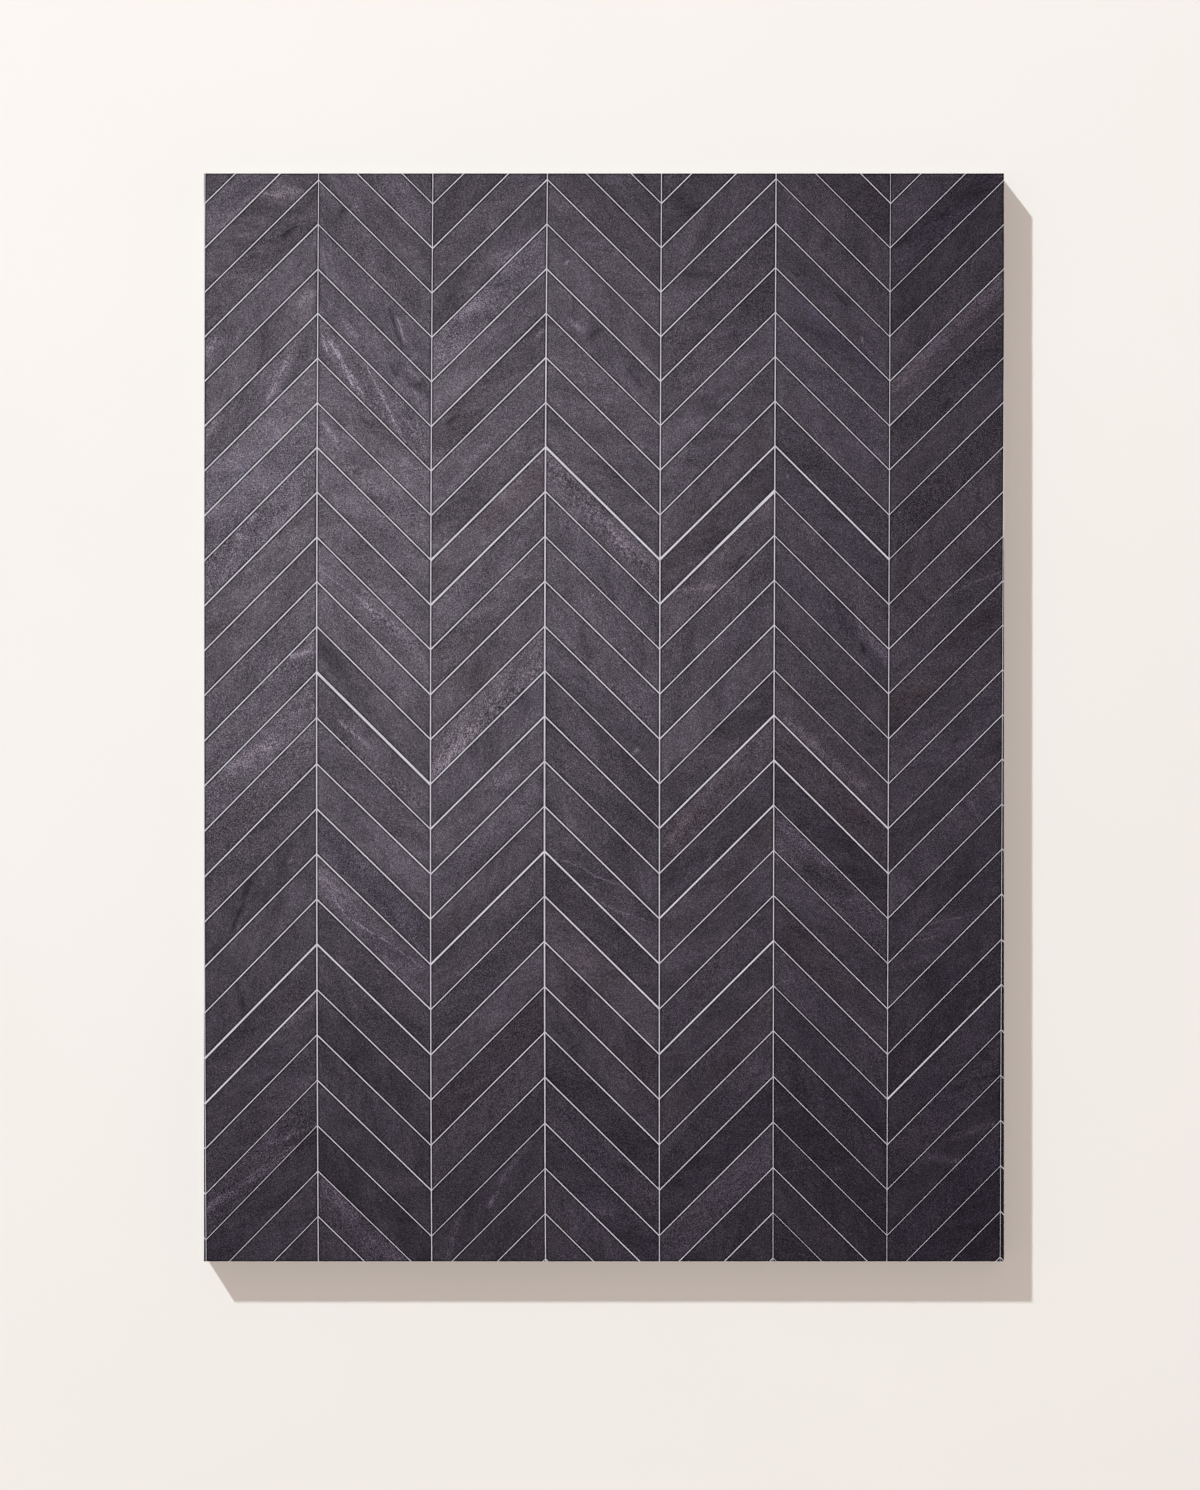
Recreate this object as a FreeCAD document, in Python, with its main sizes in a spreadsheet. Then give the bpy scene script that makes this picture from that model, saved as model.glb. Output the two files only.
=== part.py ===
# Chevron wall tile panel: slate strips laid point to point in upright columns on a backer board.
# Z = 0 is the back of the board, +Z comes out of the tiled face, and +Y is the way the arrows point.
import FreeCAD, Part
import os
import Sketcher

Vector = FreeCAD.Vector

# Driving dimensions, in millimetres and degrees: alias, value, what it is.
SIZES = [
    ("panel_width", 800, "sawn panel, across the columns"),
    ("panel_height", 1088, "sawn panel, along the columns"),
    ("board_thickness", 12.5, "cement backer board"),
    ("bed_thickness", 3, "tile adhesive between board and strips"),
    ("strip_thickness", 10, "slate strip, back to face"),
    ("strip_width", 30.4, "slate strip, square across its long edges"),
    ("strip_length", 158.8, "slate strip, along one long edge"),
    ("cut_angle", 45, "long edges against the level, so the ends are cut upright"),
    ("arris", 0.25, "eased edge round each strip's face"),
    ("joint", 1.5, "gap between strips, square across"),
    ("joint_recess", 0.3, "grout face below the strips' face"),
    ("first_joint_inset", 0.4, "centre of the first upright joint from the sawn left edge"),
    ("first_apex_drop", 7, "first arrow point below the sawn top edge"),
]

# Sizes worked out from the driving dimensions, in millimetres, and the counts of what repeats.
LAYOUT = [
    ("strip_run", "sizes.strip_length * cos(sizes.cut_angle)"),
    ("strip_fall", "sizes.strip_length * sin(sizes.cut_angle)"),
    ("strip_side", "sizes.strip_width / cos(sizes.cut_angle)"),
    ("strip_pitch", "(sizes.strip_width + sizes.joint) / cos(sizes.cut_angle)"),
    ("column_pitch", "layout.strip_run + sizes.joint"),
    ("column_fall", "layout.column_pitch * tan(sizes.cut_angle)"),
    ("apex_gap", "sizes.joint / 2 * (1 / cos(sizes.cut_angle) + tan(sizes.cut_angle))"),
    ("tile_base", "sizes.board_thickness + sizes.bed_thickness"),
    ("grout_depth", "sizes.strip_thickness - sizes.joint_recess"),
    ("rows_above", "ceil((sizes.first_apex_drop + layout.column_fall) / layout.strip_pitch)"),
    ("rows_below", "ceil((sizes.panel_height - sizes.first_apex_drop) / layout.strip_pitch)"),
    ("arrows_left", "ceil(sizes.first_joint_inset / (2 * layout.column_pitch))"),
    ("arrows_right", "ceil((sizes.panel_width - sizes.first_joint_inset) / (2 * layout.column_pitch))"),
    ("left_arrow_x", "sizes.first_joint_inset - sizes.panel_width / 2"
                     " + (1 - 2 * layout.arrows_left) * layout.column_pitch"),
    ("top_arrow_y", "sizes.panel_height / 2 - sizes.first_apex_drop"
                    " + layout.rows_above * layout.strip_pitch"),
]


def make_sizes(doc):
    """The sheet of driving dimensions."""
    sheet = doc.addObject("Spreadsheet::Sheet", "sizes")
    for row, (alias, value, meaning) in enumerate(SIZES, start=1):
        sheet.set(f"A{row}", meaning)
        sheet.set(f"B{row}", str(value))
        sheet.setAlias(f"B{row}", alias)
    doc.recompute()


def make_layout(doc):
    """The set of worked-out sizes, which follows the sheet."""
    layout = doc.addObject("App::VarSet", "layout")
    for name, formula in LAYOUT:
        layout.addProperty("App::PropertyFloat", name, "Layout")
        layout.setExpression(name, formula)
    doc.recompute()
    return layout


def own(body, role):
    """One of a body's own origin planes or axes."""
    return next(feature for feature in body.Origin.OriginFeatures if feature.Role == role)


def place(thing, x=None, y=None, z=None):
    """Binds an object's position to formulas."""
    for axis, formula in (("x", x), ("y", y), ("z", z)):
        if formula:
            thing.setExpression(f".Placement.Base.{axis}", formula)


def bind(sketch, kind, first, second, formula):
    """A sketch dimension between two (line, end) points, bound to a formula."""
    number = sketch.addConstraint(Sketcher.Constraint(kind, *first, *second, 1.0))
    sketch.setExpression(f"Constraints[{number}]", formula)


def panel_slab(doc, name, thickness, base=None):
    """A full-size layer of the panel, centred on the origin."""
    slab = doc.addObject("Part::Box", name)
    slab.setExpression("Length", "sizes.panel_width")
    slab.setExpression("Width", "sizes.panel_height")
    slab.setExpression("Height", thickness)
    place(slab, "-sizes.panel_width / 2", "-sizes.panel_height / 2", base)
    return slab


def strip_outline(body, layout, side):
    """One strip beside an arrow's point at the sketch's origin: to its right (side 1) or left (-1)."""
    sketch = body.newObject("Sketcher::SketchObject", body.Name + "_outline")
    sketch.AttachmentSupport = (own(body, "XY_Plane"), [""])
    sketch.MapMode = "FlatFace"
    near_x, far_x = side, side * layout.strip_run
    top_y, height, fall = -layout.apex_gap, layout.strip_side, layout.strip_fall
    corners = [
        Vector(near_x, top_y, 0),
        Vector(near_x, top_y - height, 0),
        Vector(far_x, top_y - height - fall, 0),
        Vector(far_x, top_y - fall, 0),
    ]
    for number in range(4):
        sketch.addGeometry(Part.LineSegment(corners[number], corners[(number + 1) % 4]))
    for number in range(4):
        sketch.addConstraint(Sketcher.Constraint("Coincident", number, 2, (number + 1) % 4, 1))
    near_side, low_edge, far_side, high_edge = range(4)
    point, near_top, near_low, far_top = (-1, 1), (near_side, 1), (near_side, 2), (far_side, 2)
    sketch.addConstraint(Sketcher.Constraint("Vertical", near_side))
    sketch.addConstraint(Sketcher.Constraint("Vertical", far_side))
    sketch.addConstraint(Sketcher.Constraint("Parallel", low_edge, high_edge))
    bind(sketch, "DistanceX", *(point, near_top)[::side], "sizes.joint / 2")
    bind(sketch, "DistanceX", *(near_top, far_top)[::side], "layout.strip_run")
    bind(sketch, "DistanceY", near_top, point, "layout.apex_gap")
    bind(sketch, "DistanceY", near_low, near_top, "layout.strip_side")
    bind(sketch, "DistanceY", far_top, near_top, "layout.strip_fall")
    return sketch


def repeat(doc, body, name, axis, spacing, count):
    """Repeats all of a body so far along one of its axes."""
    pattern = body.newObject("PartDesign::LinearPattern", body.Name + "_" + name)
    pattern.TransformMode = "Whole shape"
    pattern.Direction = (own(body, axis), [""])
    pattern.Mode = "Spacing"
    pattern.setExpression("Offset", spacing)
    pattern.setExpression("Occurrences", count)
    body.Tip = pattern
    return pattern


def laid_strips(doc, layout, name, side):
    """All the strips on one side of the arrows' points, before the panel is sawn to size."""
    body = doc.addObject("PartDesign::Body", name)
    body.AllowCompound = True
    strip = body.newObject("PartDesign::Pad", name + "_pad")
    strip.Profile = strip_outline(body, layout, side)
    strip.setExpression("Length", "sizes.strip_thickness")
    doc.recompute()
    face_edges = [
        f"Edge{index}" for index, edge in enumerate(strip.Shape.Edges, start=1)
        if edge.BoundBox.ZMin > strip.Shape.CenterOfMass.z
    ]
    eased = body.newObject("PartDesign::Chamfer", name + "_arris")
    eased.Base = (strip, face_edges)
    eased.setExpression("Size", "sizes.arris")
    doc.recompute()
    rows = repeat(doc, body, "rows", "Y_Axis", "layout.strip_pitch",
                  "layout.rows_above + layout.rows_below")
    rows.Reversed = True
    doc.recompute()
    repeat(doc, body, "arrows", "X_Axis", "2 * layout.column_pitch",
           "layout.arrows_left + layout.arrows_right")
    place(body, "layout.left_arrow_x", "layout.top_arrow_y", "layout.tile_base")
    return body


def sawn_to_size(doc, name, strips, outline):
    """The laid strips, sawn off at the panel's edges."""
    tiles = doc.addObject("Part::Common", name)
    tiles.Base = strips
    tiles.Tool = outline
    return tiles


def make_grout(doc, strips):
    """The lattice that fills every joint, down to the adhesive."""
    all_strips = doc.addObject("Part::Compound", "all_strips")
    all_strips.Links = strips
    fill = panel_slab(doc, "grout_fill", "layout.grout_depth", "layout.tile_base")
    grout = doc.addObject("Part::Cut", "grout")
    grout.Base = fill
    grout.Tool = all_strips
    return grout


def check(doc, parts):
    """Stops with a message if anything failed to build."""
    for thing in doc.Objects:
        if {"Invalid", "Error"} & set(thing.State):
            raise RuntimeError(f"{thing.Name} did not build: {thing.State}")
    for part in parts:
        if part.Shape.isNull() or not part.Shape.isValid() or not part.Shape.Solids:
            raise RuntimeError(f"{part.Label} has no valid solid")


def main():
    doc = FreeCAD.newDocument("chevron_wall_tile")
    make_sizes(doc)
    layout = make_layout(doc)

    board = panel_slab(doc, "backer_board", "sizes.board_thickness")
    bed = panel_slab(doc, "adhesive_bed", "sizes.bed_thickness", "sizes.board_thickness")
    outline = panel_slab(
        doc, "panel_outline", "layout.tile_base + sizes.strip_thickness"
    )

    rising = laid_strips(doc, layout, "laid_rising", -1)
    falling = laid_strips(doc, layout, "laid_falling", 1)
    tiles = [
        sawn_to_size(doc, "rising_strips", rising, outline),
        sawn_to_size(doc, "falling_strips", falling, outline),
    ]
    grout = make_grout(doc, [rising, falling])
    doc.recompute()

    parts = [board, bed, grout, *tiles]
    check(doc, parts)
    os.makedirs("parts", exist_ok=True)
    for part in parts:
        part.Shape.exportStep(f"parts/{part.Label}.step")
        print(part.Label, len(part.Shape.Solids), "solids", round(part.Shape.Volume / 1000, 1), "cm3")


main()
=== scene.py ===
# Chevron wall tile panel: split slate strips in white cement grout, seen from straight above as it
# lies on a pale floor. Places read off the view are in millimetres from its upper left corner. The
# view takes in 1200 x 1490 mm of the tiled face.
import math
import random

import bmesh
import bpy
import numpy as np
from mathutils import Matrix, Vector, geometry


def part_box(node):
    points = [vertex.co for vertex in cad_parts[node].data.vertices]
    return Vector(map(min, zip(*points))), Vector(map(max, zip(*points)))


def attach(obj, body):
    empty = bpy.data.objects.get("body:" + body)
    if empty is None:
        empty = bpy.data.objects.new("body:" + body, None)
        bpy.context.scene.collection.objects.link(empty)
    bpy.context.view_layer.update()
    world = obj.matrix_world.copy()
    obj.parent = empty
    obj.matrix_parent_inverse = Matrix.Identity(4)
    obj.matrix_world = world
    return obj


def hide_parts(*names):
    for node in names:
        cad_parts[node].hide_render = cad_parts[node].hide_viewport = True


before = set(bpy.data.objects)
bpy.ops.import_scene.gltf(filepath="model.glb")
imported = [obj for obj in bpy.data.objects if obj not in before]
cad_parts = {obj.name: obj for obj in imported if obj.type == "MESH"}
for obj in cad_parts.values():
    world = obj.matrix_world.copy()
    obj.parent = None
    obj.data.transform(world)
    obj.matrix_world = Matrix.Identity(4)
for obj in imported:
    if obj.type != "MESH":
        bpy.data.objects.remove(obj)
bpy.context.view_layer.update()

MM = 0.001

# The panel as the frame has it, in metres.
PANEL_LOW, PANEL_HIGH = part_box("backer_board")
BED_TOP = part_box("adhesive_bed")[1][2]
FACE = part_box("rising_strips")[1][2]

# The view, in millimetres: its middle, and the panel's middle in it.
VIEW_MIDDLE = (600.0, 745.0)
PANEL_MIDDLE = (603.95, 717.4)
CAMERA_HEIGHT = 4.0

# A whole strip, in millimetres: level run between its upright ends, and width square across.
STRIP_RUN = 112.3
STRIP_WIDTH = 30.4

# The eased edge of a strip, the cells of its face, and the grid lines that run along its edges.
ARRIS = 0.2
CELL = 1.9
EDGE_LINES = (0.0, ARRIS, 1.2, 2.6)

# The relief of the split faces, its depth and the size of its waves, and the grout below the face.
CLEFT_DEPTH, CLEFT_SIZE = 0.25, 28.0
GROUT_RECESS = 0.12

# Points nearer to each other than this, in metres, are one point.
CLOSE = 1e-7

# The upright joints, left to right: where each crosses the panel's top, middle and bottom edge.
UPRIGHT_JOINTS = [
    (204.9, 203.9, 206.1),
    (318.6, 316.6, 318.3),
    (432.9, 430.5, 431.7),
    (547.4, 544.6, 545.5),
    (661.5, 659.6, 659.4),
    (776.1, 774.0, 773.0),
    (890.5, 888.6, 886.8),
    (1004.9, 1002.4, 1000.2),
]
LAST_JOINT = len(UPRIGHT_JOINTS) - 1
PANEL_TOP, PANEL_DEPTH = 173.2, 1088.4

# From the first upright joint to the one sawn off left of it, and from the last to the one right.
SAWN_LEFT, SAWN_RIGHT = 114.2, 114.0

# The slanted joints: where that of row 0 starts, from one row to the next, how much the tiler gained
# on that in each row, and how far a joint falls or rises across its column.
FIRST_HEIGHT, ROW_PITCH, ROW_GAIN, COLUMN_FALL = 179.0, 44.42, 0.0235, 113.1

# How wide the upright joints are, and the slanted joints of each column: at top, middle and bottom.
UPRIGHT_WIDTHS = [
    (0.8, 0.95, 0.5), (0.68, 1.22, 0.85), (0.72, 1.12, 0.88), (0.8, 1.5, 0.85),
    (0.82, 1.15, 0.8), (0.9, 1.05, 0.5), (0.4, 0.85, 0.5), (0.6, 0.55, 0.45),
]
SLANT_WIDTHS = [
    (0.9, 1.1, 0.9), (0.93, 1.27, 0.64), (0.9, 1.2, 0.72), (1.02, 1.27, 0.72), (0.9, 1.17, 0.92),
    (0.88, 1.12, 0.86), (0.68, 0.86, 0.52), (0.63, 0.76, 0.57), (0.7, 0.8, 0.8),
]
FIRST_ROW, LAST_ROW = -4, 25

# How far a slanted joint's ends stray up or down, and how much its widths vary.
STRAY, WIDTH_STRAY = 0.35, 0.15

# Slanted joints that are wider than the rest: (column, row) and width at the left and right end.
WIDE_JOINTS = {
    (2, 11): (2.5, 2.3), (4, 6): (2.3, 2.0), (5, 7): (1.7, 2.8), (5, 6): (2.2, 1.4),
    (3, 6): (2.0, 1.6), (3, 7): (2.1, 1.4), (3, 12): (1.6, 1.5), (5, 12): (1.6, 1.8),
    (5, 14): (1.7, 1.6), (5, 17): (1.5, 1.7), (1, 17): (1.9, 1.8), (1, 18): (1.7, 1.5),
    (4, 15): (1.8, 1.5), (4, 16): (1.4, 1.8), (3, 15): (1.8, 1.8), (2, 17): (1.7, 1.3),
    (6, 13): (1.7, 1.2), (6, 12): (1.2, 1.7), (6, 6): (1.4, 1.8), (7, 18): (1.7, 1.2),
}

# Strips by how they stand out from their neighbours: (column, row below the joint of that number).
PALEST = [(3, 1), (3, 17), (4, 16), (5, 3), (5, 10), (7, 13), (2, 15), (1, 4), (5, 21), (2, 13)]
PALE = [
    (1, -2), (1, 5), (1, 11), (2, 4), (2, 5), (2, 8), (2, 22), (3, 2), (3, 10), (3, 11), (3, 12),
    (3, 13), (3, 19), (4, 0), (4, 1), (4, 3), (4, 6), (4, 8), (4, 9), (4, 18), (4, 22), (5, 7),
    (5, 12), (5, 14), (5, 15), (6, 3), (6, 11), (6, 14), (6, 15), (7, 2), (7, 11), (3, 4), (6, 4),
]
DARK = [
    (1, -1), (1, 0), (1, 13), (1, 17), (2, 10), (2, 18), (3, -3), (3, 0), (3, 3), (3, 5), (3, 16),
    (3, 18), (3, 20), (4, -2), (4, -1), (4, 10), (4, 11), (4, 12), (4, 15), (4, 21), (5, 1), (5, 2),
    (5, 6), (5, 11), (5, 13), (5, 22), (6, 6), (6, 8), (6, 18), (6, 19), (6, 21), (6, 23), (7, 9),
    (7, 14), (7, 16), (7, 22), (1, 14), (2, 16), (4, 5), (7, 12),
]
DARKEST = [
    (1, 21), (2, 21), (3, -2), (4, -3), (4, 19), (5, -2), (5, 20), (6, -3), (6, -2), (6, 5),
    (6, 13), (6, 20), (7, -1), (7, 0), (7, 3), (7, 5), (7, 17),
]
BLUISH = [
    (2, 14), (6, 13), (1, -2), (1, 5), (1, 6), (2, 1), (2, 2), (3, 1), (3, 11), (4, 7), (4, 10),
    (4, 21), (5, 13), (6, 2), (6, 3), (6, 5), (6, 6), (6, 8), (6, 18), (7, -1), (7, 21), (7, 22),
]
REDDISH = [
    (1, -1), (1, 0), (1, 2), (1, 7), (1, 8), (3, 3), (3, 6), (3, 8), (3, 9), (3, 10), (3, 14),
    (3, 18), (4, 16), (4, 17), (5, 5), (5, 6), (5, 7), (5, 12), (5, 14), (5, 18), (6, 11), (6, 12),
    (6, 16), (7, -3), (7, 2), (7, 6), (7, 7), (7, 9),
]
GRAINY = [
    (1, 5), (1, 6), (1, 10), (1, 11), (1, 12), (1, 20), (3, 1), (3, 10), (4, 6), (5, 12), (5, 21),
    (2, 14), (2, 15), (2, 22), (7, 3), (7, 5), (6, 14), (2, 3), (7, 19), (4, 20),
]

# Marks in the stone: kind, start, end, width across and strength. Each stays in its own strip.
MARKS = [
    ("pale", (262, 193), (284, 195), 4, 1.0), ("pale", (278, 184), (312, 199), 7, 0.6),
    ("dark", (284, 236), (294, 226), 6, 0.7),
    ("pale", (302, 302), (318, 290), 9, 0.4), ("pale", (268, 400), (290, 356), 6, 0.5),
    ("pale", (207, 352), (214, 340), 8, 0.6), ("pale", (207, 434), (213, 424), 7, 0.5),
    ("blue", (206, 500), (275, 445), 18, 0.9), ("pale", (250, 520), (257, 514), 3, 0.8),
    ("pale", (237, 536), (249, 538), 3, 0.7), ("dark", (279, 512), (289, 504), 4, 0.7),
    ("pale", (291, 656), (315, 651), 3, 0.9), ("riven", (268, 678), (316, 655), 12, 0.5),
    ("dark", (260, 704), (266, 698), 3, 0.7), ("pale", (298, 712), (300, 710), 1.6, 1.0),
    ("pale", (230, 768), (275, 742), 12, 0.55), ("dark", (254, 758), (258, 754), 3, 0.9),
    ("warm", (240, 818), (304, 780), 14, 0.7), ("dark", (232, 932), (250, 882), 4, 0.7),
    ("pale", (239, 906), (243, 900), 4, 0.6), ("dark", (279, 867), (283, 863), 3, 0.7),
    ("pale", (289, 862), (293, 858), 3, 0.7), ("pale", (208, 1207), (236, 1190), 5, 0.9),
    ("pale", (236, 1190), (270, 1166), 5, 0.6), ("pale", (268, 1168), (296, 1146), 4, 0.5),
    ("pale", (286, 1139), (294, 1131), 3, 0.9), ("pale", (268, 1144), (290, 1136), 3, 0.4),
    ("pale", (294, 1134), (316, 1126), 2.5, 0.6), ("dark", (338, 216), (346, 208), 5, 0.8),
    ("pale", (348, 214), (356, 206), 4, 0.5), ("pale", (371, 287), (373, 285), 1.6, 1.0),
    ("dark", (389, 310), (402, 347), 3, 0.8), ("pale", (398, 319), (404, 340), 2.5, 0.7),
    ("pale", (344, 322), (357, 338), 6, 0.4), ("dark", (391, 368), (396, 374), 4, 0.8),
    ("pale", (408, 368), (422, 383), 3, 0.5), ("pale", (414, 391), (427, 410), 3, 0.5),
    ("pale", (330, 342), (361, 394), 5, 0.9), ("pale", (342, 360), (352, 384), 3, 1.1),
    ("pale", (322, 338), (327, 351), 3, 0.8), ("pale", (368, 368), (391, 415), 2, 0.9),
    ("pale", (391, 415), (401, 435), 2, 0.9), ("pale", (407, 420), (424, 447), 2, 0.4),
    ("pale", (321, 420), (337, 442), 4, 0.6),
    ("dark", (416, 387), (424, 379), 5, 0.8), ("pale", (412, 360), (416, 354), 4, 0.6),
    ("riven", (390, 380), (404, 366), 9, 0.5), ("riven", (350, 470), (416, 518), 14, 0.5),
    ("riven", (367, 606), (416, 650), 13, 0.7), ("dark", (320, 640), (338, 664), 12, 0.5),
    ("riven", (324, 730), (424, 806), 11, 0.65), ("pale", (340, 722), (366, 744), 4, 0.6),
    ("blue", (320, 836), (410, 920), 18, 0.6), ("pale", (322, 876), (346, 900), 14, 0.5),
    ("riven", (324, 905), (400, 975), 14, 0.4), ("pale", (442, 326), (478, 302), 12, 0.4),
    ("pale", (500, 264), (545, 230), 14, 0.5), ("dark", (448, 424), (455, 416), 5, 0.8),
    ("pale", (536, 338), (543, 330), 3, 0.7), ("warm", (490, 516), (540, 470), 16, 0.9),
    ("riven", (436, 770), (542, 664), 17, 0.8), ("pale", (498, 695), (500, 693), 2, 1.0),
    ("pale", (492, 709), (494, 707), 2, 1.0), ("pale", (434, 772), (476, 728), 12, 0.5),
    ("blue", (498, 716), (542, 686), 12, 0.3), ("pale", (460, 822), (462, 820), 1.8, 1.0),
    ("pale", (498, 784), (514, 772), 8, 0.4), ("riven", (516, 912), (540, 874), 9, 0.5),
    ("pale", (490, 1202), (496, 1196), 2.5, 0.9), ("pale", (566, 263), (568, 261), 1.8, 1.0),
    ("dark", (573, 296), (574, 322), 2.5, 0.8), ("dark", (590, 338), (598, 330), 5, 0.8),
    ("pale", (570, 320), (582, 330), 4, 0.6), ("dark", (630, 370), (640, 386), 5, 0.7),
    ("riven", (550, 466), (656, 578), 16, 0.75), ("pale", (597, 512), (629, 550), 12, 0.25),
    ("dark", (566, 478), (574, 486), 5, 0.7), ("pale", (612, 641), (614, 639), 1.8, 0.9),
    ("pale", (623, 650), (625, 648), 1.8, 0.9), ("pale", (610, 687), (612, 685), 1.8, 0.9),
    ("pale", (592, 596), (594, 594), 1.8, 0.9), ("riven", (552, 640), (646, 716), 13, 0.55),
    ("dark", (575, 676), (588, 684), 4, 0.7), ("pale", (634, 753), (638, 749), 2.5, 0.8),
    ("dark", (668, 186), (726, 232), 16, 0.5), ("dark", (686, 272), (716, 278), 4, 0.6),
    ("dark", (676, 396), (728, 412), 14, 0.4), ("pale", (719, 402), (727, 397), 4, 0.5),
    ("pale", (674, 462), (686, 452), 12, 0.3), ("dark", (730, 452), (732, 450), 2.5, 0.9),
    ("pale", (668, 592), (718, 586), 4, 0.6), ("dark", (734, 567), (742, 559), 6, 0.7),
    ("dark", (672, 768), (680, 758), 8, 0.5), ("warm", (665, 850), (692, 812), 12, 0.7),
    ("pale", (667, 846), (688, 818), 8, 0.4), ("pale", (707, 860), (712, 855), 3, 0.6),
    ("dark", (821, 248), (829, 240), 5, 0.7), ("riven", (860, 338), (872, 352), 6, 0.6),
    ("pale", (861, 340), (863, 338), 1.8, 1.0), ("pale", (870, 352), (872, 350), 1.8, 1.0),
    ("dark", (838, 296), (846, 304), 5, 0.7), ("blue", (796, 292), (878, 372), 16, 0.7),
    ("pale", (786, 478), (788, 476), 1.8, 1.0), ("pale", (856, 622), (886, 656), 11, 0.5),
    ("dark", (861, 643), (866, 656), 2.5, 0.9), ("pale", (787, 722), (863, 786), 9, 0.45),
    ("warm", (848, 820), (864, 804), 10, 0.8), ("pale", (780, 824), (830, 866), 8, 0.45),
    ("dark", (806, 868), (850, 892), 8, 0.5), ("pale", (849, 901), (856, 898), 2, 0.8),
    ("riven", (856, 976), (874, 962), 7, 0.4), ("dark", (902, 240), (980, 190), 14, 0.5),
    ("pale", (894, 384), (1000, 284), 14, 0.45), ("dark", (942, 410), (949, 402), 5, 0.7),
    ("warm", (894, 706), (926, 692), 9, 0.7), ("dark", (955, 742), (958, 739), 3, 0.9),
    ("pale", (968, 800), (977, 816), 4, 0.4), ("dark", (950, 1092), (972, 1081), 2.5, 1.0),
    ("dark", (972, 1081), (1000, 1074), 2.5, 1.0), ("pale", (953, 1137), (992, 1124), 5, 0.55),
    ("pale", (925, 1156), (965, 1162), 6, 0.5), ("pale", (830, 1170), (856, 1163), 3, 0.4),
    ("pale", (598, 1211), (612, 1215), 4, 0.5), ("pale", (446, 1262), (470, 1182), 5, 0.4),
    ("pale", (500, 1182), (528, 1144), 5, 0.6), ("pale", (490, 1206), (498, 1192), 2.5, 0.7),
    ("pale", (324, 1185), (352, 1216), 12, 0.5), ("pale", (372, 1240), (400, 1262), 12, 0.45),
    ("dark", (620, 1163), (634, 1172), 3, 0.9), ("dark", (597, 1143), (604, 1148), 2.5, 0.7),
    ("dark", (236, 982), (244, 1010), 4, 0.6), ("pale", (276, 1030), (316, 1002), 7, 0.4),
]

# Fine calcite veins and drawn lines, each a run of places with its strength.
VEINS = [
    (0.9, [(333, 897), (347, 917), (379, 937), (391, 944), (424, 969)]),
    (0.6, [(322, 572), (340, 585), (361, 599)]),
    (0.6, [(949, 595), (975, 582), (1001, 572)]),
    (0.8, [(550, 858), (568, 862), (584, 869), (593, 875), (609, 881), (625, 887)]),
    (0.7, [(602, 903), (618, 912), (631, 915), (656, 924)]),
    (0.5, [(927, 924), (945, 920), (963, 917)]),
    (0.5, [(919, 940), (931, 938), (942, 935)]),
    (0.5, [(354, 726), (354, 740)]),
    (0.5, [(770, 1174), (790, 1172), (812, 1166)]),
    (0.4, [(206, 1206), (232, 1187), (262, 1168), (292, 1146)]),
]

# A mark fades out over this share of its width and a vein over so many millimetres beyond its ends.
# No vein reaches farther than VEIN_REACH.
MARK_FADE, VEIN_FADE, VEIN_REACH = 0.6, 3.0, 9.0

# The way the stone's grain runs where it shows: a place in the strip, and degrees from the level.
GRAIN_WAYS = [
    (275, 193, -8), (281, 372, 62), (394, 321, -70), (358, 321, -60), (342, 364, -62), (329, 429, -45),
    (402, 499, -3), (571, 305, -65), (595, 335, -60), (579, 504, -40), (305, 655, 20), (243, 716, 35),
    (221, 797, 15), (237, 900, 72), (388, 620, -38), (332, 644, -60), (345, 733, -65), (361, 873, -55),
    (377, 932, -32), (498, 700, 65), (458, 819, 40), (520, 883, 40), (566, 690, -28), (566, 862, -20),
    (243, 994, 88), (297, 1024, 20), (289, 1137, 22), (229, 1199, 28), (342, 1209, -55),
    (334, 1164, -70), (402, 1005, -20), (512, 1177, 66), (466, 1072, 30), (488, 1104, 65),
    (579, 1164, -20), (601, 227, -60), (636, 375, -75), (698, 276, 5), (722, 332, 30), (690, 459, 5),
    (704, 545, 20), (825, 241, -75), (854, 322, -40), (946, 354, 35), (948, 477, 75), (607, 660, -65),
    (628, 746, -40), (623, 883, -20), (674, 590, 15), (712, 614, 70), (725, 800, 60), (693, 856, 45),
    (865, 646, -75), (795, 705, -60), (833, 754, -55), (825, 859, -35), (811, 915, -15), (973, 584, 25),
    (908, 606, -50), (927, 649, 45), (916, 700, 15), (970, 802, -70), (932, 931, 15), (623, 1176, -30),
    (612, 1222, -15), (725, 1055, 70), (739, 1216, 75), (817, 971, -35), (849, 1168, 8), (803, 915, -20),
    (957, 1084, 25), (959, 1133, 12),
]


def in_view(x, y):
    """A place in the view as a place on the panel's face, in metres."""
    return Vector(((x - PANEL_MIDDLE[0]) * MM, (PANEL_MIDDLE[1] - y) * MM, 0.0))


def ramp(value, start, end):
    """From 0 at start to 1 at end, and level outside."""
    return min(1.0, max(0.0, (value - start) / (end - start)))


def at_height(values, y):
    """A size at a height of the view, from its values at the panel's top, middle and bottom."""
    down = (y - PANEL_TOP) / PANEL_DEPTH
    top, middle, bottom = values
    bow = middle - (top + bottom) / 2
    return top + (bottom - top) * down + 4 * bow * down * (1 - down)


def upright(joint, y):
    """Where the middle of an upright joint lies at a height of the view. The joints bow a little."""
    if joint < 0:
        return upright(0, y) - SAWN_LEFT
    if joint > LAST_JOINT:
        return upright(LAST_JOINT, y) + SAWN_RIGHT
    return at_height(UPRIGHT_JOINTS[joint], y)


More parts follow.
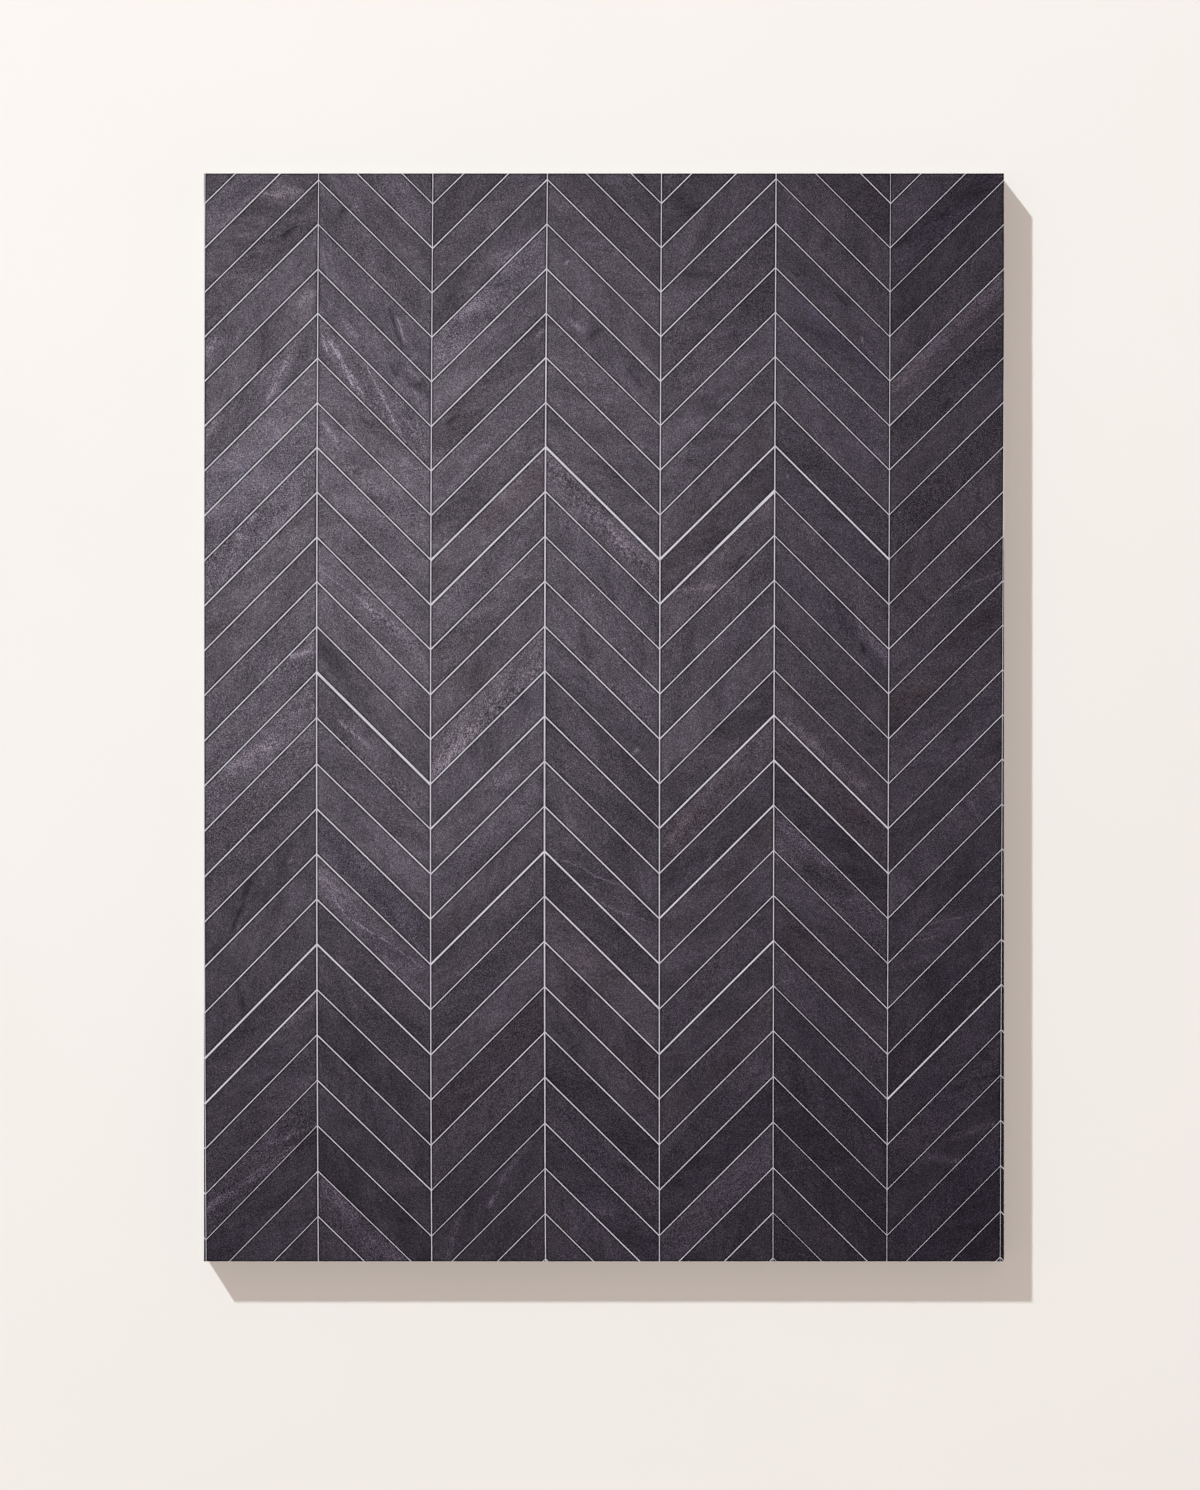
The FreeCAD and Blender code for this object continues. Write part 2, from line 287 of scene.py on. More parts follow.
def slant_end(joint, row):
    """The height where a slanted joint's middle meets an upright joint. The columns settled a little."""
    settled = {
        0: 0.3 + 4.1 * ramp(row, 0, 17), 1: 1.0 + 2.3 * ramp(row, 10, 13), 2: 0.8, 3: 0.5, 4: 0.2,
        5: -0.4, 6: 0.1, 7: 0.4 - 2.0 * ramp(row, 7, 15),
    }
    height = FIRST_HEIGHT + ROW_PITCH * row + ROW_GAIN * row * row + settled.get(joint, 0.0)
    return height + (COLUMN_FALL if joint % 2 == 0 else 0.0)


class Slant:
    """The slanted joint of one row in one column: its two ends and its width at each."""

    def __init__(self, column, row):
        hand = random.Random(1000 * column + row)
        self.left_y = slant_end(column - 1, row) + hand.uniform(-STRAY, STRAY)
        self.right_y = slant_end(column, row) + hand.uniform(-STRAY, STRAY)
        self.left_x = upright(column - 1, self.left_y)
        self.right_x = upright(column, self.right_y)
        height = min(PANEL_TOP + PANEL_DEPTH, max(PANEL_TOP, self.left_y))
        usual = at_height(SLANT_WIDTHS[column], height)
        widths = [usual + hand.uniform(-WIDTH_STRAY, WIDTH_STRAY) for _ in range(2)]
        self.widths = WIDE_JOINTS.get((column, row), widths)

    def edge(self, x, side):
        """The height of the joint's upper (side -1) or lower (side 1) edge at x."""
        share = (x - self.left_x) / (self.right_x - self.left_x)
        slope = (self.right_y - self.left_y) / (self.right_x - self.left_x)
        width = self.widths[0] + (self.widths[1] - self.widths[0]) * share
        middle = self.left_y + (self.right_y - self.left_y) * share
        return middle + side * width / 2 * math.hypot(1, slope)


def strip_corners(column, row):
    """A strip's corners on the face, in metres: lower left, lower right, upper left, upper right."""
    above, below = Slant(column, row), Slant(column, row + 1)
    left_width, right_width = UPRIGHT_WIDTHS[max(0, column - 1)], UPRIGHT_WIDTHS[min(column, LAST_JOINT)]
    corners = []
    for slant, side in ((below, -1), (above, 1)):
        left = slant.left_x + at_height(left_width, slant.left_y) / 2
        right = slant.right_x - at_height(right_width, slant.right_y) / 2
        corners += [in_view(x, slant.edge(x, side)) for x in (left, right)]
    return corners


def column_rows(column):
    """The rows of a column that reach the panel, with their corners. A strip of which less than half
    a millimetre's width is on the panel is left out."""
    found = []
    for row in range(FIRST_ROW, LAST_ROW):
        corners = strip_corners(column, row)
        xs, ys = [c.x for c in corners], [c.y for c in corners]
        inside_x = max(xs) > PANEL_LOW[0] + MM / 2 and min(xs) < PANEL_HIGH[0] - MM / 2
        if inside_x and max(ys) > PANEL_LOW[1] and min(ys) < PANEL_HIGH[1]:
            found.append((row, corners))
    return found


# Making nodes

def add(tree, kind, links=None, **settings):
    """Adds a node with its settings, and links or values for its inputs, by name or number."""
    node = tree.nodes.new(kind)
    for name, value in settings.items():
        setattr(node, name, value)
    for key, value in (links or {}).items():
        if isinstance(key, int):
            socket = node.inputs[key]
        else:
            socket = next(s for s in node.inputs if s.name == key and s.enabled)
        if isinstance(value, bpy.types.Node):
            value = next(s for s in value.outputs if s.enabled)
        if isinstance(value, bpy.types.NodeSocket):
            tree.links.new(value, socket)
        else:
            socket.default_value = value
    return node


def srgb(code):
    """A colour written as six hex digits, in linear light."""
    channels = [int(code[i:i + 2], 16) / 255 for i in (0, 2, 4)]
    return [c / 12.92 if c <= 0.04045 else ((c + 0.055) / 1.055) ** 2.4 for c in channels] + [1.0]


# Slate strips

def edge_lines(size, cell):
    """Grid lines across a strip's face as shares of its size, closer together along the edges."""
    near, inner = list(EDGE_LINES), size - 2 * EDGE_LINES[-1]
    count = round(inner / cell)
    middle = [near[-1] + inner * i / count for i in range(1, count)]
    far = [size - value for value in reversed(near)]
    return [value / size for value in near + middle + far]


def strip_blank():
    """One strip as a unit block: a gridded face with an eased edge, plain sides and back."""
    across, up = edge_lines(STRIP_RUN, CELL * 0.7), edge_lines(STRIP_WIDTH, CELL)
    rim = 1 - ARRIS * MM / (FACE - BED_TOP)
    bm = bmesh.new()
    face = []
    for j, v in enumerate(up):
        line = []
        for i, u in enumerate(across):
            on_rim = i in (0, len(across) - 1) or j in (0, len(up) - 1)
            line.append(bm.verts.new((u, v, rim if on_rim else 1.0)))
        face.append(line)
    for low, high in zip(face, face[1:]):
        for i in range(len(across) - 1):
            bm.faces.new((low[i], low[i + 1], high[i + 1], high[i]))
    rim_verts = face[0][:-1] + [line[-1] for line in face[:-1]]
    rim_verts += face[-1][:0:-1] + [line[0] for line in face[:0:-1]]
    foot_verts = [bm.verts.new((v.co.x, v.co.y, 0.0)) for v in rim_verts]
    for i in range(len(rim_verts)):
        n = (i + 1) % len(rim_verts)
        bm.faces.new((rim_verts[n], rim_verts[i], foot_verts[i], foot_verts[n]))
    bm.faces.new(list(reversed(foot_verts)))
    mesh = bpy.data.meshes.new("strip_blank")
    bm.to_mesh(mesh)
    bm.free()
    return bpy.data.objects.new("strip_blank", mesh)


def laying_tree():
    """Geometry nodes that set one blank strip on each layout point and fit it to its corners."""
    tree = bpy.data.node_groups.new("laying_the_strips", "GeometryNodeTree")
    sockets = (
        ("Layout", "Geometry"), ("Blank strip", "Object"), ("Bed top", "Float"),
        ("Thickness", "Float"), ("Cleft depth", "Float"), ("Cleft size", "Float"),
        ("Stone", "Material"),
    )
    for name, kind in sockets:
        tree.interface.new_socket(name, in_out="INPUT", socket_type="NodeSocket" + kind)
    tree.interface.new_socket("Strips", in_out="OUTPUT", socket_type="NodeSocketGeometry")
    given = add(tree, "NodeGroupInput").outputs
    blank = add(tree, "GeometryNodeObjectInfo", {"Object": given["Blank strip"]})
    laid = add(tree, "GeometryNodeInstanceOnPoints", {
        "Points": given["Layout"], "Instance": blank.outputs["Geometry"],
    })
    real = add(tree, "GeometryNodeRealizeInstances", {"Geometry": laid})
    blank_place = add(tree, "GeometryNodeInputPosition")
    kept = add(tree, "GeometryNodeStoreNamedAttribute", {
        "Geometry": real, "Name": "blank_place", "Value": blank_place,
    }, data_type="FLOAT_VECTOR")

    def read(name, kind="FLOAT_VECTOR"):
        return add(tree, "GeometryNodeInputNamedAttribute", {"Name": name}, data_type=kind)

    share = add(tree, "ShaderNodeSeparateXYZ", {"Vector": read("blank_place")}).outputs
    both = add(tree, "ShaderNodeMath", {0: share["X"], 1: share["Y"]}, operation="MULTIPLY")
    place = read("corner")
    for side, amount in (("along", share["X"]), ("across", share["Y"]), ("twist", both)):
        place = add(tree, "ShaderNodeVectorMath", {0: read(side), 1: amount, 2: place},
                    operation="MULTIPLY_ADD")
    turned = add(tree, "ShaderNodeVectorRotate", {"Vector": place, "Angle": read("turn", "FLOAT")},
                 rotation_type="Z_AXIS")
    in_block = add(tree, "ShaderNodeVectorMath", {0: turned, 1: read("from_block")}, operation="ADD")
    cleft = add(tree, "ShaderNodeTexNoise", {
        "Vector": in_block, "Scale": given["Cleft size"], "Detail": 3.0, "Roughness": 0.5,
    })
    depth = add(tree, "ShaderNodeMath", {
        0: cleft.outputs[0], 1: given["Cleft depth"], 2: read("lip", "FLOAT"),
    }, operation="MULTIPLY_ADD")
    high = add(tree, "ShaderNodeMath", {0: given["Thickness"], 1: depth}, operation="SUBTRACT")
    height = add(tree, "ShaderNodeMath", {0: share["Z"], 1: high, 2: given["Bed top"]},
                 operation="MULTIPLY_ADD")
    flat = add(tree, "ShaderNodeSeparateXYZ", {"Vector": place}).outputs
    fitted = add(tree, "ShaderNodeCombineXYZ", {"X": flat["X"], "Y": flat["Y"], "Z": height})
    depth_in_block = add(tree, "ShaderNodeCombineXYZ", {"Z": height})
    stone_place = add(tree, "ShaderNodeVectorMath", {0: in_block, 1: depth_in_block}, operation="ADD")
    noted = add(tree, "GeometryNodeStoreNamedAttribute", {
        "Geometry": kept, "Name": "stone_place", "Value": stone_place,
    }, data_type="FLOAT_VECTOR")
    moved = add(tree, "GeometryNodeSetPosition", {"Geometry": noted, "Position": fitted})
    finished = add(tree, "GeometryNodeSetMaterial", {"Geometry": moved, "Material": given["Stone"]})
    add(tree, "NodeGroupOutput", {"Strips": finished})
    return tree


# What the layout points tell the laying tree about each strip.
LAYOUT_NOTES = ("corner", "along", "across", "twist", "from_block", "turn", "lip")


def strip_tone(column, row, middle):
    """How light a strip is, 1 for the usual, with a painted falloff of light: strips are lighter towards
    the upper left and darker towards the lower right.
    """
    key = (column, row)
    steps = ((PALEST, 1.22), (PALE, 1.11), (DARK, 0.9), (DARKEST, 0.79))
    usual = random.Random(7000 * column + row).uniform(0.98, 1.02)
    right, down = middle.x / PANEL_HIGH[0], -middle.y / PANEL_HIGH[1]
    # Painted falloff of light: paler towards the upper left, darker towards the lower right, darkest in
    # the lower right corner.
    painted_light_falloff = 0.94 - 0.01 * ramp(right, -0.6, 1.0) - 0.09 * ramp(down, -0.35, 1.0)
    painted_light_falloff -= 0.2 * ramp(right + down, 1.2, 1.9)
    return painted_light_falloff * usual * next((tone for strips, tone in steps if key in strips), 1.0)


def strip_tint(column, row):
    """How reddish (above 0) or bluish (below 0) a strip is."""
    key = (column, row)
    usual = random.Random(9000 * column + row).uniform(-0.02, 0.02)
    return usual + (0.08 if key in REDDISH else -0.05 if key in BLUISH else 0.0)


def column_layout(name, rows, column, ways):
    """A point for each strip of a column, with all that the laying tree needs to know of it."""
    mesh = bpy.data.meshes.new(name + "_layout")
    mesh.vertices.add(len(rows))
    notes = {key: [] for key in ("corner", "along", "across", "twist", "from_block", "look")}
    numbers = {key: [] for key in ("turn", "lip", "row")}
    for row, (low_left, low_right, high_left, high_right) in rows:
        # Each strip is cut from its own place in the block. Unless its grain's way is known, that
        # runs 8 to 38 degrees off the strip's length.
        cut = random.Random(3000 * column + row)
        notes["corner"].append(low_left)
        notes["along"].append(low_right - low_left)
        notes["across"].append(high_left - low_left)
        notes["twist"].append(high_right - high_left - low_right + low_left)
        notes["from_block"].append([cut.uniform(-5, 5) for _ in range(3)])
        grain = cut.uniform(0.95, 1.2) * (1.3 if (column, row) in GRAINY else 1.0)
        middle = (low_left + high_right) / 2
        notes["look"].append((strip_tone(column, row, middle), strip_tint(column, row), grain))
        slant = 45 if column % 2 == 1 else -45
        usual_way = slant + cut.choice((-1, 1)) * cut.uniform(8, 38)
        numbers["turn"].append(math.radians(-ways.get((column, row), usual_way)))
        numbers["lip"].append(cut.uniform(0.0, 0.1) * MM)
        numbers["row"].append(row)
    for key, values in notes.items():
        layer = mesh.attributes.new(key, "FLOAT_VECTOR", "POINT")
        layer.data.foreach_set("vector", np.array(values, dtype=np.float32).ravel())
    for key, values in numbers.items():
        layer = mesh.attributes.new(key, "FLOAT", "POINT")
        layer.data.foreach_set("value", np.array(values, dtype=np.float32))
    return bpy.data.objects.new(name, mesh)


def saw_to_size(mesh):
    """Saws the strips off at the panel's outline and closes the cut faces."""
    bm = bmesh.new()
    bm.from_mesh(mesh)
    cuts = (
        ((PANEL_LOW[0], 0, 0), (-1, 0, 0)), ((PANEL_HIGH[0], 0, 0), (1, 0, 0)),
        ((0, PANEL_LOW[1], 0), (0, -1, 0)), ((0, PANEL_HIGH[1], 0), (0, 1, 0)),
    )
    for point, outward in cuts:
        everything = bm.verts[:] + bm.edges[:] + bm.faces[:]
        bmesh.ops.bisect_plane(bm, geom=everything, dist=CLOSE, plane_co=point, plane_no=outward,
                               clear_outer=True)
        open_edges = [edge for edge in bm.edges if edge.is_boundary]
        bmesh.ops.holes_fill(bm, edges=open_edges, sides=0)
    bm.to_mesh(mesh)
    bm.free()


def read_points(mesh, name, wide=True):
    """A mesh attribute, or its points for the name position, as an array."""
    count = len(mesh.vertices)
    values = np.empty(count * (3 if wide else 1), dtype=np.float32)
    if name == "position":
        mesh.vertices.foreach_get("co", values)
    else:
        mesh.attributes[name].data.foreach_get("vector" if wide else "value", values)
    return values.reshape(count, 3) if wide else values


def write_points(mesh, name, values):
    """Stores one vector for each point of a mesh."""
    layer = mesh.attributes.new(name, "FLOAT_VECTOR", "POINT")
    layer.data.foreach_set("vector", np.ascontiguousarray(values, dtype=np.float32).ravel())


def to_segment(points, start, end):
    """Signed distance of each point from the line start-end, and how far along it is, 0 to 1."""
    run = end - start
    along = ((points - start) @ run) / max(run @ run, 1e-12)
    share = np.clip(along, 0.0, 1.0)
    offset = points - start - share[:, None] * run
    side = np.sign(run[0] * (points - start)[:, 1] - run[1] * (points - start)[:, 0])
    return np.hypot(offset[:, 0], offset[:, 1]) * np.where(side == 0, 1.0, side), along


def strip_of(column_pieces, point):
    """The (column, row) of the strip that a place on the face lies in."""
    for column, rows in column_pieces.items():
        for row, (a, b, c, d) in rows:
            share = (point.x - a.x) / (b.x - a.x)
            if 0 <= share <= 1:
                low, high = a.y + (b.y - a.y) * share, c.y + (d.y - c.y) * share
                if low <= point.y <= high:
                    return column, row
    return None


def mark_stone(mesh, column, column_pieces):
    """Notes on each point how far the stone's marks, veins and sawn edges reach it."""
    points = read_points(mesh, "position")[:, :2] / MM
    blank = read_points(mesh, "blank_place")
    rows = np.round(read_points(mesh, "row", wide=False)).astype(int)
    amounts = {kind: np.zeros(len(points)) for kind in ("pale", "dark", "riven", "warm", "blue")}
    for kind, start, end, width, strength in MARKS:
        middle = in_view((start[0] + end[0]) / 2, (start[1] + end[1]) / 2)
        home = strip_of(column_pieces, middle)
        if home is None or home[0] != column:
            continue
        ends = [np.array(in_view(*place)[:2]) / MM for place in (start, end)]
        here = rows == home[1]
        distance, _ = to_segment(points[here], *ends)
        reach = strength * np.exp(-(distance / (width * MARK_FADE)) ** 2)
        amounts[kind][here] = np.maximum(amounts[kind][here], reach)
    vein = np.full(len(points), VEIN_REACH)
    vein_strength = np.zeros(len(points))
    for strength, places in VEINS:
        home = strip_of(column_pieces, in_view(*places[len(places) // 2]))
        if home is None or home[0] != column:
            continue
        here = np.flatnonzero(rows == home[1])
        for start, end in zip(places, places[1:]):
            ends = [np.array(in_view(*place)[:2]) / MM for place in (start, end)]
            distance, along = to_segment(points[here], *ends)
            nearer = np.abs(distance) < np.abs(vein[here])
            beyond = np.maximum(np.abs(along - 0.5) - 0.5, 0) * np.hypot(*(ends[1] - ends[0]))
            vein[here[nearer]] = distance[nearer]
            vein_strength[here[nearer]] = strength * np.exp(-(beyond[nearer] / VEIN_FADE) ** 2)
    # Distance to the nearest strip edge or sawn end, for the painted shade along the edges.
    u, v = blank[:, 0] * STRIP_RUN, blank[:, 1] * STRIP_WIDTH
    sawn = np.array(PANEL_HIGH[:2]) / MM - np.abs(points)
    edge = np.minimum.reduce([u, STRIP_RUN - u, v, STRIP_WIDTH - v, sawn[:, 0], sawn[:, 1]])
    look = read_points(mesh, "look")
    look[:, 1] += 0.2 * amounts["warm"] - 0.23 * amounts["blue"]
    mesh.attributes["look"].data.foreach_set("vector", look.ravel())
    write_points(mesh, "marks", np.stack([amounts["pale"], amounts["dark"], amounts["riven"]], 1))
    vein = np.clip(vein, -VEIN_REACH, VEIN_REACH)
    write_points(mesh, "lines", np.stack([vein, vein_strength, edge], 1))


def make_slate_columns(stone):
    """All the columns of strips, each one piece, and the slivers along the two side edges."""
    tree = laying_tree()
    settings = {
        "Blank strip": strip_blank(), "Bed top": float(BED_TOP), "Thickness": float(FACE - BED_TOP),
        "Cleft depth": CLEFT_DEPTH * MM, "Cleft size": 1 / (CLEFT_SIZE * MM), "Stone": stone,
    }
    names = {0: "slate_edge_left", LAST_JOINT + 1: "slate_edge_right"}
    column_pieces = {column: column_rows(column) for column in range(LAST_JOINT + 2)}
    ways = {strip_of(column_pieces, in_view(x, y)): way for x, y, way in GRAIN_WAYS}
    socket = {item.name: item.identifier for item in tree.interface.items_tree}
    for column, rows in column_pieces.items():
        name = names.get(column, f"slate_column_{column}")
        layout = column_layout(name, rows, column, ways)
        bpy.context.collection.objects.link(layout)
        laying = layout.modifiers.new("laying", "NODES")
        laying.node_group = tree
        for key, value in settings.items():
            laying[socket[key]] = value
        made = layout.evaluated_get(bpy.context.evaluated_depsgraph_get())
        mesh = bpy.data.meshes.new_from_object(made)
        layout.modifiers.remove(laying)
        saw_to_size(mesh)
        mark_stone(mesh, column, column_pieces)
        for spent in LAYOUT_NOTES + ("row", "blank_place"):
            mesh.attributes.remove(mesh.attributes[spent])
        mesh.name = name
        layout.data = mesh
        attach(layout, "root")
        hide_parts("rising_strips" if column % 2 == 1 else "falling_strips")
    return column_pieces


# Grout

def clipped(corners):
    """A strip's outline, cut off at the panel's edges, with its new corners exactly on them."""
    outline = [Vector(corners[i][:2]) for i in (0, 1, 3, 2)]
    sides = ((0, PANEL_LOW[0], 1), (0, PANEL_HIGH[0], -1), (1, PANEL_LOW[1], 1), (1, PANEL_HIGH[1], -1))
    for axis, limit, side in sides:
        kept = []
        for here, after in zip(outline, outline[1:] + outline[:1]):
            inside, inside_after = (here[axis] - limit) * side, (after[axis] - limit) * side
            if inside >= 0:
                kept.append(here)
            if inside * inside_after < 0:
                crossing = here.lerp(after, inside / (inside - inside_after))
                for near_axis, edge, _ in sides:
                    if abs(crossing[near_axis] - edge) < MM / 1000:
                        crossing[near_axis] = edge
                kept.append(crossing)
        outline = kept
    return outline


def make_grout(column_pieces, material):
    """One lattice that fills every joint: the panel's outline less the strips, down to the bed."""
    (x0, y0), (x1, y1) = PANEL_LOW[:2], PANEL_HIGH[:2]
    outlines = [[Vector(corner) for corner in ((x0, y0), (x1, y0), (x1, y1), (x0, y1))]]
    for rows in column_pieces.values():
        outlines += [clipped(strip) for _, strip in rows]
    outlines = [outline for outline in outlines if len(outline) > 2]
    points, loops = [], []
    for outline in outlines:
        loops.append(list(range(len(points), len(points) + len(outline))))
        points += outline
    flat, _, triangles, _, _, origins = geometry.delaunay_2d_cdt(points, [], loops, 1, CLOSE)
    filled = [tri for tri, origin in zip(triangles, origins) if list(origin) == [0]]
    top = FACE - GROUT_RECESS * MM
    bm = bmesh.new()
    used = sorted({index for tri in filled for index in tri})
    high = {index: bm.verts.new((flat[index].x, flat[index].y, top)) for index in used}
    low = {index: bm.verts.new((flat[index].x, flat[index].y, BED_TOP)) for index in used}
    sides = {}
    for tri in filled:
        bm.faces.new([high[index] for index in tri])
        bm.faces.new([low[index] for index in reversed(tri)])
        for start, end in zip(tri, tri[1:] + tri[:1]):
            sides[(start, end)] = True
    for start, end in sides:
        if (end, start) not in sides:
            bm.faces.new((high[end], high[start], low[start], low[end]))
    mesh = bpy.data.meshes.new("grout_lattice")
    bm.to_mesh(mesh)
    bm.free()
    mesh.materials.append(material)
    grout = bpy.data.objects.new("grout_lattice", mesh)
    bpy.context.collection.objects.link(grout)
    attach(grout, "root")
    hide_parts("grout")


# Materials

def new_material(name):
    """An empty material with its shader and output."""
    material = bpy.data.materials.new(name)
    material.use_nodes = True
    tree = material.node_tree
    tree.nodes.clear()
    shader = add(tree, "ShaderNodeBsdfPrincipled")
    add(tree, "ShaderNodeOutputMaterial", {"Surface": shader})
    return material, tree, shader


def per_mm(*sizes):
    """Mapping scale for a pattern with these feature sizes in millimetres."""
    return [1 / (size * MM) for size in sizes]


def noise(tree, place, size, detail, roughness=0.5):
    """A noise pattern with features of this size in millimetres."""
    return add(tree, "ShaderNodeTexNoise", {
        "Vector": place, "Scale": 1 / (size * MM), "Detail": detail, "Roughness": roughness,
    })


def blend(tree, share, first, second):
    """A colour so far on the way from the first to the second."""
    links = {"Factor": share, "A": first, "B": second}
    return add(tree, "ShaderNodeMix", links, data_type="RGBA").outputs[2]


def scaled(tree, colour, amount):
    """A colour so many times as light."""
    links = {0: colour, "Scale": amount}
    return add(tree, "ShaderNodeVectorMath", links, operation="SCALE").outputs[0]


def emboss(tree, shader, strength, depth, height):
    """Relief on a shader from a height pattern, this deep in millimetres."""
    bump = add(tree, "ShaderNodeBump", {"Strength": strength, "Distance": depth * MM, "Height": height})
    tree.links.new(bump.outputs[0], shader.inputs["Normal"])


def slate_material():
    """Split slate, honed lightly and sealed: fine grain, soft clouds along the bedding, faint cleft
    ripples and a satin sheen that the light rakes across."""
    material, tree, shader = new_material("sealed_split_slate")
    place, look, marks, lines = [
        add(tree, "ShaderNodeAttribute", attribute_name=name).outputs["Vector"]
        for name in ("stone_place", "look", "marks", "lines")
    ]
    tone, tint, grain = add(tree, "ShaderNodeSeparateXYZ", {"Vector": look}).outputs
    pale, dark, riven = add(tree, "ShaderNodeSeparateXYZ", {"Vector": marks}).outputs
    vein, vein_strength, edge = add(tree, "ShaderNodeSeparateXYZ", {"Vector": lines}).outputs

    def pattern(sizes, detail, roughness=0.55, slant=(0.0, 0.0, 0.0)):
        spread = add(tree, "ShaderNodeMapping", {
            "Vector": place, "Scale": per_mm(*sizes), "Rotation": slant,
        })
        return add(tree, "ShaderNodeTexNoise", {
            "Vector": spread, "Scale": 1.0, "Detail": detail, "Roughness": roughness,
        }).outputs[0]

    def math_node(operation, *values, clamp=False):
        return add(tree, "ShaderNodeMath", dict(enumerate(values)), operation=operation, use_clamp=clamp)

    def swing(value, amount):
        """A pattern as so much up and down about nothing."""
        return math_node("MULTIPLY_ADD", value, 2 * amount, -amount)

    clouds = pattern((70, 26, 40), 2.0)
    mottle = pattern((13, 8, 12), 3.0, 0.65)
    ripples = pattern((26, 3.2, 10), 2.0)
    # The face cuts through the grit at a slant, so that it is as strong in every strip.
    grit = pattern((1.1, 1.1, 1.1), 2.0, 0.7, slant=(0.6, 0.5, 0.0))
    streaks = swing(pattern((10, 1.4, 4), 3.0, 0.7), 3.0)
    speckled = math_node("ADD", streaks, swing(grit, 2.2))
    broken = math_node("MULTIPLY_ADD", speckled, 1.0, 0.55, clamp=True)

    torn = math_node("MULTIPLY_ADD", streaks, 0.3, swing(pattern((2.6, 2.1, 2.4), 2.0, 0.8), 3.2))

    # Clouds and mottle shade the whole strip. Grit shows more on the grainy strips.
    shading = math_node("ADD", swing(clouds, 0.55), swing(mottle, 0.38))
    depth = math_node("MULTIPLY_ADD", swing(grit, 2.6), grain, shading)
    depth = math_node("ADD", depth, swing(ripples, 0.24))
    # Pale and dark marks break up over the streaks. Riven patches are streaked and grained.
    depth = math_node("MULTIPLY_ADD", math_node("MULTIPLY", pale, broken), 1.6, depth)
    depth = math_node("MULTIPLY_ADD", math_node("MULTIPLY", dark, broken), -1.1, depth)
    depth = math_node("MULTIPLY_ADD", riven, torn, depth)
    # A vein wanders a little about its line and fades where it thins out.
    wander = math_node("MULTIPLY_ADD", pattern((7, 7, 7), 2.0), 3.0, math_node("SUBTRACT", vein, 1.5))
    line = math_node("EXPONENT", math_node("MULTIPLY", math_node("MULTIPLY", wander, wander), -1.4))
    line = math_node("MULTIPLY", math_node("MULTIPLY", line, vein_strength), broken)
    depth = math_node("MULTIPLY_ADD", line, 1.4, depth)
    # Painted shade along every edge of a strip: the stone is darkened over its last two millimetres at
    # each joint and sawn end.
    rim = add(tree, "ShaderNodeMapRange", {
        "Value": edge, "From Min": 0.3, "From Max": 1.9, "To Min": -1.1, "To Max": 0.0,
    })
    depth = math_node("ADD", depth, rim.outputs[0])
    # The tone brings the painted falloff of light from strip_tone into both the colour and the sheen.
    shade = math_node("MULTIPLY", math_node("EXPONENT", depth), tone)

    drift = swing(pattern((48, 30, 40), 1.0), 0.1)
    hue = math_node("ADD", math_node("ADD", tint, drift), 0.51, clamp=True)
    colour = blend(tree, hue, srgb("26253A"), srgb("302523"))
    tree.links.new(scaled(tree, colour, shade), shader.inputs["Base Color"])

    gloss = math_node("MULTIPLY_ADD", depth, -0.03, 0.41)
    tree.links.new(gloss.outputs[0], shader.inputs["Roughness"])
    shader.inputs["IOR"].default_value = 1.5
    # Dark and broken stone also shines less. The sheen of the mica in it is a cool one.
    sheen = math_node("MULTIPLY", shade, 0.41, clamp=True)
    tree.links.new(sheen.outputs[0], shader.inputs["Specular IOR Level"])
    shader.inputs["Specular Tint"].default_value = (0.84, 0.84, 0.97, 1.0)
    relief = math_node("MULTIPLY_ADD", grit, 0.35, math_node("MULTIPLY", ripples, 0.6))
    emboss(tree, shader, 0.35, 0.12, relief)
    return material


def levelness(tree):
    """How level a face lies: 1 on the front and back, 0 on the sides."""
    normal = add(tree, "ShaderNodeNewGeometry").outputs["Normal"]
    up = add(tree, "ShaderNodeSeparateXYZ", {"Vector": normal}).outputs["Z"]
    return add(tree, "ShaderNodeMath", {0: up}, operation="ABSOLUTE")


def grout_material():
    """White cement grout, sponged off: matt, finely sanded and a little stained. Its upright faces are
    darker than its top, down to 0.3 of its colour."""
    material, tree, shader = new_material("sponged_cement_grout")
    place = add(tree, "ShaderNodeTexCoord").outputs["Object"]
    sand = noise(tree, place, 0.7, 2.0).outputs[0]
    stain = noise(tree, place, 24, 3.0).outputs[0]
    mix = add(tree, "ShaderNodeMath", {0: stain, 1: 0.7, 2: sand}, operation="MULTIPLY_ADD")
    spread = add(tree, "ShaderNodeMapRange", {"Value": mix, "From Min": 0.55, "From Max": 1.15})
    colour = blend(tree, spread, srgb("BBB7C2"), srgb("DEDBE4"))
    # Upright faces are darker than the top: down to 0.3 of the colour where a face stands on end.
    darker_upright_faces = add(tree, "ShaderNodeMapRange", {"Value": levelness(tree), "To Min": 0.3, "To Max": 1.0})
    tree.links.new(scaled(tree, colour, darker_upright_faces), shader.inputs["Base Color"])
    shader.inputs["Roughness"].default_value = 0.9
    shader.inputs["IOR"].default_value = 1.5
    shader.inputs["Specular IOR Level"].default_value = 0.3
    emboss(tree, shader, 0.3, 0.1, sand)
    return material


